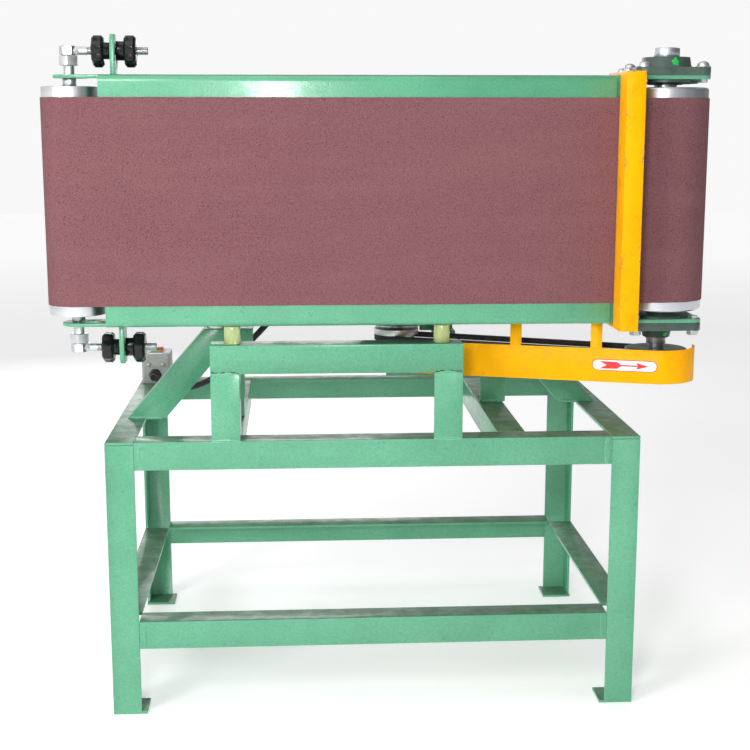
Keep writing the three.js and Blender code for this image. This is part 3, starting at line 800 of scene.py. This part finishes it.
def weld_bead(form, start, end, out, width=7 * mm, height=1.5 * mm, ripple=2.8 * mm, sway=0.3 * mm):
    """A bead from start to end, raised along out, with the scallops that the torch leaves."""
    along = (end - start).normalized()
    side = along.cross(out).normalized()
    length = (end - start).length
    steps = max(8, round(length / ripple * 4))
    rings = []
    shift = 0.0
    for step in range(steps + 1):
        s = length * step / steps
        shift = 0.8 * shift + bead_noise.uniform(-sway, sway)
        scallop = 0.82 + 0.18 * abs(math.sin(math.pi * s / ripple))
        taper = min(1.0, 0.35 + 0.65 * min(s, length - s) / (1.5 * ripple))
        middle_point = start + along * s + side * shift
        ring = []
        for corner in range(10):
            turn = 2 * math.pi * corner / 10
            rise = math.sin(turn) * height * scallop * taper
            rise = rise if rise > 0 else 0.3 * rise
            spread = math.cos(turn) * width / 2 * (0.9 + 0.1 * scallop) * taper
            ring.append(middle_point + side * spread + out * rise)
        rings.append(ring)
    return form.rings(rings)


def ground_weld(form, start, end, out, width=9 * mm):
    """A weld ground almost flush before painting: wide, very low and even."""
    return weld_bead(form, start, end, out, width, 0.35 * mm, 14 * mm, 0.1 * mm)


def weld_shadow_line(start, end):
    """Rings for a thin dark ribbon of painted shadow that wanders along the top of a rough weld, where
    the shade of its undercut falls.
    """
    steps = 40
    rings = []
    for step in range(steps + 1):
        share = step / steps
        wave = 0.9 * math.sin(0.42 * step + start.x * 40) + 0.5 * math.sin(1.1 * step)
        center = start.lerp(end, share) + up * (2.4 + wave) * mm + front * 0.1 * mm
        thick = (0.9 + 0.35 * math.sin(0.8 * step)) * mm
        ring = []
        for corner in range(8):
            turn = 2 * math.pi * corner / 8
            ring.append(center + up * thick * math.cos(turn) + front * 0.35 * mm * math.sin(turn))
        rings.append(ring)
    return rings


def upright_seam(x, y, bottom, top):
    return Vector((x, y, bottom)), Vector((x, y, top))


def level_seam(y, z, first, last):
    return Vector((first, y, z)), Vector((last, y, z))


def leg_welds(form):
    """The flush seams where the top ring meets the legs, and the beads of the lower ring."""
    outside = {"left": -1, "right": 1}
    bead_size = 5 * mm, 1.2 * mm
    sunk = 0.4 * mm
    ring_front = low("top_rail_front").y
    ring_back = high("top_rail_back").y
    ring_low = low("top_rail_front").z
    rail_low = low("lower_rail_front").z + 4 * mm
    rail_high = high("lower_rail_front").z - 4 * mm
    for side in outside:
        leg_low, leg_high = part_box("leg_front_" + side)
        seam_x = leg_high.x if side == "left" else leg_low.x
        for y, out in ((ring_front, front), (ring_back, -front)):
            ground_weld(form, *upright_seam(seam_x, y, ring_low, ring_top), out)
            weld_bead(form, *upright_seam(seam_x, y - out.y * sunk, rail_low, rail_high), out, *bead_size)
    for side, sign in outside.items():
        outer = low("leg_front_left").x if side == "left" else high("leg_front_right").x
        out = Vector((sign, 0, 0))
        for end in ("front", "back"):
            leg_low, leg_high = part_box(f"leg_{end}_{side}")
            seam_y = leg_high.y if end == "front" else leg_low.y
            ground_weld(form, *upright_seam(outer, seam_y, ring_low, ring_top), out)
            weld_bead(form, *upright_seam(outer, seam_y, rail_low, rail_high), out, *bead_size)


def post_welds(form, shadow_lines):
    """The feet of the posts and braces on the stand's rails, and the rough welds of the head rail."""
    for post in ("post_front_left", "post_front_right"):
        post_low, post_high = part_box(post)
        foot = level_seam(post_low.y, post_low.z, post_low.x, post_high.x)
        ground_weld(form, *foot, front, 6 * mm)
        head = level_seam(post_low.y, post_high.z, post_low.x + 2 * mm, post_high.x - 2 * mm)
        weld_bead(form, *head, front, 5 * mm, 1.0 * mm, 9 * mm, 0.7 * mm)
        # A ribbon of painted shadow along the top of the head weld.
        shadow_lines.rings(weld_shadow_line(*head))
    for post in ("post_rear_left", "post_rear_right"):
        post_low, post_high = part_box(post)
        for y, out in ((post_low.y, front), (post_high.y, -front)):
            foot = level_seam(y, post_low.z + 1 * mm, post_low.x + 3 * mm, post_high.x - 3 * mm)
            weld_bead(form, *foot, out, 6 * mm, 1.4 * mm)
    foot_length = 70 * mm
    for brace in ("brace_left", "brace_right"):
        brace_low = low(brace)
        left = brace_low.x if brace == "brace_left" else high(brace).x - foot_length
        ends = left + 4 * mm, left + foot_length - 4 * mm
        foot = level_seam(brace_low.y, brace_low.z + 1 * mm, *ends)
        weld_bead(form, *foot, front, 6 * mm, 1.6 * mm)


def stand_welds():
    form = Form()
    shadow_lines = Form()
    leg_welds(form)
    post_welds(form, shadow_lines)
    piece("stand_welds", form, "enamel")
    # The dark ribbons along the head welds are painted shadow.
    piece("painted_weld_shadows", shadow_lines, "enamel", materials=[painted_weld_shadow])


def head_welds():
    """Beads where the lugs and the idler brackets meet the folded sheet."""
    form = Form()
    for end, level, direction in platen_ends:
        lug_low, lug_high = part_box("tension_lug_" + end)
        for x, out in ((lug_low.x, -right), (lug_high.x, right)):
            near = Vector((x, lug_low.y + 3 * mm, level))
            far = Vector((x, lug_high.y - 3 * mm, level))
            weld_bead(form, near, far, (out + direction).normalized(), 6 * mm, 2 * mm)
        bracket_low, bracket_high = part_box("idler_bracket_" + end)
        outside = bracket_high.z if end == "top" else bracket_low.z
        near = Vector((platen_low.x, bracket_low.y + 2 * mm, outside))
        far = Vector((platen_low.x, bracket_high.y - 2 * mm, outside))
        ground_weld(form, near, far, direction)
    piece("head_welds", form, "enamel")


stand_welds()
head_welds()


# Markings

def direction_label():
    """A plain label on the guard with an arrow towards the drive drum, and no words on it."""
    length, height = 114 * mm, 20.5 * mm
    guard_radius = 69 * mm
    center = drive_axis + along_guard * 49 * mm + across_guard * guard_radius
    center.z = low("belt_guard").z + 31 * mm
    turn = Matrix((-along_guard, up, across_guard)).transposed().to_4x4()
    where = Matrix.Translation(center) @ turn
    form = Form()
    for inset, thickness, material in ((0, 0.12 * mm, 1), (1.3 * mm, 0.2 * mm, 0)):
        radius = height / 2 - inset
        reach = length / 2 - height / 2
        outline = arc(reach, 0, radius, -90, 90, 14) + arc(-reach, 0, radius, 90, 270, 14)
        form.slab(outline, thickness, where, material)
    tail, tip = -44.5 * mm, 42.5 * mm
    shaft = 1.3 * mm
    half_arrow = [
        (tail, 6.8 * mm), (-13 * mm, 6.2 * mm), (-6 * mm, shaft), (23 * mm, shaft),
        (20 * mm, 6.2 * mm), (tip, 0),
    ]
    mirrored = [(x, -y) for x, y in reversed(half_arrow[:-1])]
    form.slab(half_arrow + mirrored + [(tail + 13 * mm, 0)], 0.28 * mm, where, 1)
    piece("direction_label", form, "yellow_paint", materials=[white_film, red_film])


def paint_dab(name, center_angle, height, radius, hub_radius, cone, seed):
    """A dab of marking paint on a bearing's hub, with an uneven outline. cone is how much wider the
    hub gets for each unit of height."""
    noise = random.Random(seed)
    wobble = [(noise.uniform(0.06, 0.16), noise.uniform(0, 6.28), k) for k in (2, 3, 5)]
    rings = []
    for share, lift in ((1.0, 0.05), (0.93, 0.35), (0.6, 0.5), (0.25, 0.55)):
        ring = []
        for step in range(28):
            turn = 2 * math.pi * step / 28
            uneven = 1 + sum(size * math.sin(k * turn + phase) for size, phase, k in wobble)
            across = radius * share * uneven * math.cos(turn)
            rise = radius * share * uneven * math.sin(turn)
            surface = hub_radius + cone * rise + lift * mm
            angle = math.radians(center_angle) + across / hub_radius
            x = drive_axis.x + surface * math.cos(angle)
            y = drive_axis.y + surface * math.sin(angle)
            ring.append((x, y, height + rise))
        rings.append(ring)
    piece(name, Form().rings(rings), "cast_iron", materials=[marking_paint])


direction_label()
upper_dab = high("bearing_top").z - 9 * mm
lower_dab = low("bearing_bottom").z + 6 * mm
paint_dab("marking_dab_top", -83, upper_dab, 6.5 * mm, 42 * mm, -0.15, seed=3)
paint_dab("marking_dab_bottom", -64, lower_dab, 4.2 * mm, 25.3 * mm, 0.22, seed=8)


# Drum ends

def drum_seals():
    """The bearing that shows in each end of the idler drum: outer race, inner race and seal."""
    recess = 5 * mm
    outer = 24 * mm
    bore = outer - 4 * mm
    inner = 12 * mm
    shaft = inner - 2 * mm
    rise = 1.4 * mm
    corner = 0.4 * mm
    outer_race = [(bore, 0), (outer, 0), (outer, rise - corner), (outer - corner, rise), (bore, rise)]
    inner_race = [(shaft, 0), (inner, 0), (inner, rise), (shaft, rise)]
    lip = [(inner, 0), (bore, 0), (bore, 0.5 * mm), (bore - 3 * mm, 1.1 * mm), (inner, 0.9 * mm)]
    levels = {"top": high("idler_drum").z, "bottom": low("idler_drum").z}
    for end, _, direction in platen_ends:
        where = facing_along(on_axis(idler_axis, levels[end]) - direction * recess, direction)
        race = Form()
        race.turned(outer_race, where, 40, closed=True)
        race.turned(inner_race, where, 32, closed=True)
        piece("idler_race_" + end, race, "bright_steel", "idler_roller")
        seal = Form().turned(lip, where, 40, closed=True)
        piece("idler_seal_" + end, seal, "black_rubber", "idler_roller")


def shaft_end():
    """The drive shaft's end in its collar: a turned face with a centre hole, and two set screws."""
    top = high("drive_drum").z
    collar_radius = 22.8 * mm
    where = facing_along(on_axis(drive_axis, top), up)
    form = Form()
    profile = [
        (19.5 * mm, -0.2 * mm), (19.5 * mm, 0.1 * mm), (18.8 * mm, 0.9 * mm),
        (4 * mm, 0.9 * mm), (1.2 * mm, -0.6 * mm),
    ]
    form.turned(profile, where, 40)
    set_screw = [
        (3.2 * mm, 0), (3.2 * mm, 0.7 * mm), (2.6 * mm, 1 * mm), (1.6 * mm, 1 * mm),
        (1.4 * mm, 0.2 * mm),
    ]
    for turn in (20, 140):
        place = on_axis(drive_axis, top - 8 * mm) + heading(turn) * collar_radius
        form.turned(set_screw, facing_along(place, heading(turn)), 16)
    piece("drive_shaft_end", form, "bright_steel", "drive_roller")


drum_seals()
shaft_end()


# Switch

gland_reach = 10 * mm
switch_low, switch_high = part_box("switch_box")
switch_face = Vector((middle("switch_box").x, switch_low.y + gland_reach, switch_low.z))


def rounded_outline(half_width, half_depth, corner):
    """The (x, y) points of a rectangle with round corners."""
    reach_x = half_width - corner
    reach_y = half_depth - corner
    outline = []
    for quadrant, (side_x, side_y) in enumerate(((1, 1), (-1, 1), (-1, -1), (1, -1))):
        start = 90 * quadrant
        outline += arc(side_x * reach_x, side_y * reach_y, corner, start, start + 90, 5)
    return outline


def switch_lid():
    """The rim where the lid meets the base, and the two screw bosses on its front."""
    half_width = (switch_high.x - switch_low.x) / 2
    half_depth = (switch_high.y - switch_face.y) / 2
    proud = 0.7 * mm
    seam = switch_high.z - 28 * mm
    rim = rounded_outline(half_width + proud, half_depth + proud, 6.5 * mm)
    rim_place = Vector((switch_face.x, switch_face.y + half_depth, seam))
    lid = Form()
    lid.slab(rim, 2.2 * mm, Matrix.Translation(rim_place))
    screws = Form()
    for x in (-15 * mm, 15 * mm):
        place = Vector((switch_face.x + x, switch_face.y, seam + 6 * mm))
        boss = [(5.2 * mm, -0.5 * mm), (4.8 * mm, 2.2 * mm), (4.2 * mm, 2.8 * mm), (3 * mm, 2.8 * mm)]
        lid.turned(boss, facing_along(place, front), 20)
        pan_screw(screws, 2.6 * mm, place + front * 2.8 * mm, front)
    piece("switch_lid_rim", lid, "grey_plastic")
    piece("switch_screws", screws, "bright_steel")


def button_frame():
    """A raised frame round the two buttons, with a blank white strip in front of them."""
    start_front = low("start_button").y
    stop_back = high("stop_button").y
    play = 0.8 * mm
    bar_width = 3 * mm
    inner = 12.8 * mm
    outer = inner + bar_width
    bars = (
        (-outer, start_front - play - bar_width, outer, start_front - play),
        (-outer, stop_back + play, outer, stop_back + play + bar_width),
        (-outer, start_front - play, -inner, stop_back + play),
        (inner, start_front - play, outer, stop_back + play),
    )
    where = Matrix.Translation((switch_face.x, 0, switch_high.z - 0.3 * mm))
    form = Form()
    for x_low, y_low, x_high, y_high in bars:
        corners = [(x_low, y_low), (x_high, y_low), (x_high, y_high), (x_low, y_high)]
        form.slab(corners, 1.6 * mm, where)
    piece("switch_button_frame", form, "grey_plastic")
    strip = Form()
    strip_place = Vector((switch_face.x, start_front - 13 * mm, switch_high.z - 0.1 * mm))
    strip.slab(rounded_outline(13 * mm, 6 * mm, 1.2 * mm), 0.4 * mm, Matrix.Translation(strip_place))
    piece("switch_strip", strip, "grey_plastic", materials=[white_film])


def cable_gland():
    """A black gland round the nut of the switch box, with a dome that tapers onto the cable."""
    cable_hole = Vector((-1.5, 0, 18.7)) * mm
    where = facing_along(switch_face + cable_hole, front)
    form = Form()
    form.hexagon(24 * mm, 5 * mm, where)
    dome = [(10.6 * mm, 5 * mm), (10.6 * mm, 13 * mm), (9.6 * mm, 17 * mm), (7.4 * mm, 20 * mm)]
    relief = [(7.2 * mm, 30 * mm), (6.5 * mm, 38 * mm)]
    form.turned(dome + relief, where, 28)
    piece("cable_gland", form, "black_plastic")


switch_lid()
button_frame()
cable_gland()


# Motor trim

motor_radius = 71 * mm


def motor_screws():
    """The screws of the fan cover, the lower end shield and the lid of the terminal box."""
    form = Form()
    cover = on_axis(motor_axis, low("motor_fan_cover").z + 9 * mm)
    shield = on_axis(motor_axis, low("motor_body").z + 1 * mm)
    for turn in (45, 135, 225, 315):
        out = heading(turn)
        pan_screw(form, 4 * mm, cover + out * motor_radius, out)
        hex_bolt(form, 6 * mm, shield + out * 52 * mm, down, with_washer=False)
    lid_low, lid_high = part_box("motor_terminal_box")
    for y in (-26 * mm, 26 * mm):
        for z in (lid_low.z + 17 * mm, lid_high.z - 8 * mm):
            pan_screw(form, 4 * mm, Vector((lid_low.x, motor_axis.y + y, z)), -right)
    piece("motor_screws", form, "bright_steel")


def motor_plate():
    """A blank rating plate, held by a rivet at each corner."""
    level = 0.78
    sunk = 1 * mm
    signs = ((-1, -1), (1, -1), (1, 1), (-1, 1))
    rivet = [(1.6 * mm, 0), (1.5 * mm, 0.5 * mm), (0.9 * mm, 0.9 * mm)]
    where = facing_along(on_axis(motor_axis, level) + right * (motor_radius - sunk), right)
    form = Form()
    form.slab([(x * 22 * mm, y * 16 * mm) for x, y in signs], 0.9 * mm, where)
    for x, y in signs:
        form.turned(rivet, where @ Matrix.Translation((x * 19 * mm, y * 13 * mm, 0.8 * mm)), 12)
    piece("motor_plate", form, "bright_aluminium")


motor_screws()
motor_plate()


# Light and floor

def area_light(name, place, aim, size, power):
    data = bpy.data.lights.new(name, "AREA")
    data.shape = "RECTANGLE"
    data.size, data.size_y = size
    data.energy = power
    light = bpy.data.objects.new(name, data)
    light.location = place
    light.rotation_euler = (Vector(aim) - Vector(place)).to_track_quat("-Z", "Y").to_euler()
    bpy.context.scene.collection.objects.link(light)


def make_world():
    """Even soft light from all round, and a plain pale backdrop. Bright metal mirrors a room that
    is darker on the right, which gives round parts their light and dark sides."""
    world = bpy.data.worlds.new("studio")
    world.use_nodes = True
    tree = world.node_tree
    rays = tree.nodes.new("ShaderNodeLightPath").outputs

    def background(strength):
        made = tree.nodes.new("ShaderNodeBackground")
        made.inputs["Color"].default_value = (1, 1, 1, 1)
        made.inputs["Strength"].default_value = strength
        return made

    def choose(ray, otherwise, chosen):
        made = tree.nodes.new("ShaderNodeMixShader")
        tree.links.new(rays[ray], made.inputs["Fac"])
        tree.links.new(otherwise, made.inputs[1])
        tree.links.new(chosen, made.inputs[2])
        return made.outputs["Shader"]

    split = tree.nodes.new("ShaderNodeSeparateXYZ")
    tree.links.new(tree.nodes.new("ShaderNodeTexCoord").outputs["Generated"], split.inputs["Vector"])
    side = tree.nodes.new("ShaderNodeMapRange")
    side.inputs["From Min"].default_value = -1.0
    side.inputs["To Min"].default_value = 0.9
    side.inputs["To Max"].default_value = 0.12
    tree.links.new(split.outputs["X"], side.inputs["Value"])
    mirrored = background(1.0)
    tree.links.new(side.outputs["Result"], mirrored.inputs["Strength"])
    diffuse = background(0.44).outputs["Background"]
    light = choose("Is Glossy Ray", diffuse, mirrored.outputs["Background"])
    backdrop = background(0.94).outputs["Background"]
    seen = choose("Is Camera Ray", light, backdrop)
    tree.links.new(seen, tree.nodes["World Output"].inputs["Surface"])
    bpy.context.scene.world = world


def make_studio():
    """A key light and a small flash from the camera's side, with soft light from above and behind."""
    target = (0, 0, 0.8)
    area_light("key", (-2.0, -2.2, 1.9), target, (0.8, 0.8), 36)
    area_light("flash", (-0.46, -2.5, 1.3), (-0.3, 0, 0.95), (0.35, 0.5), 27)
    area_light("top", (-0.3, -0.6, 3.4), target, (2.4, 1.6), 14)
    area_light("back", (-0.6, 3.4, 1.6), target, (2.0, 1.6), 22)


def make_floor():
    """A pale floor that gets brighter with distance, until it is as bright as the backdrop."""
    half = 14.0
    thickness = 0.02
    outline = [(-half, -half), (half, -half), (half, half), (-half, half)]
    form = Form()
    form.slab(outline, thickness, Matrix.Translation(down * thickness))
    floor = bpy.data.objects.new("floor", form.mesh("floor"))
    bpy.context.scene.collection.objects.link(floor)
    finish = Finish("studio_floor", Emission_Color=(1, 1, 1, 1))
    length = finish.node("VectorMath", {"Vector": finish.place}, operation="LENGTH")
    glow = finish.spread(length.outputs["Value"], 2.5, 9.0, 0.33, 0.54)
    finish.feed(finish.shader.inputs["Emission Strength"], glow)
    tone = finish.patches((2, 3, 0.5), 0.3, 0.7)
    finish.color(finish.mix(tone, (0.90, 0.90, 0.90, 1), (0.92, 0.92, 0.92, 1)))
    finish.roughness(finish.spread(tone, 0, 1, 0.6, 0.7))
    floor.data.materials.append(finish.material)


bpy.context.scene.view_settings.view_transform = "Standard"
make_world()
make_studio()
make_floor()
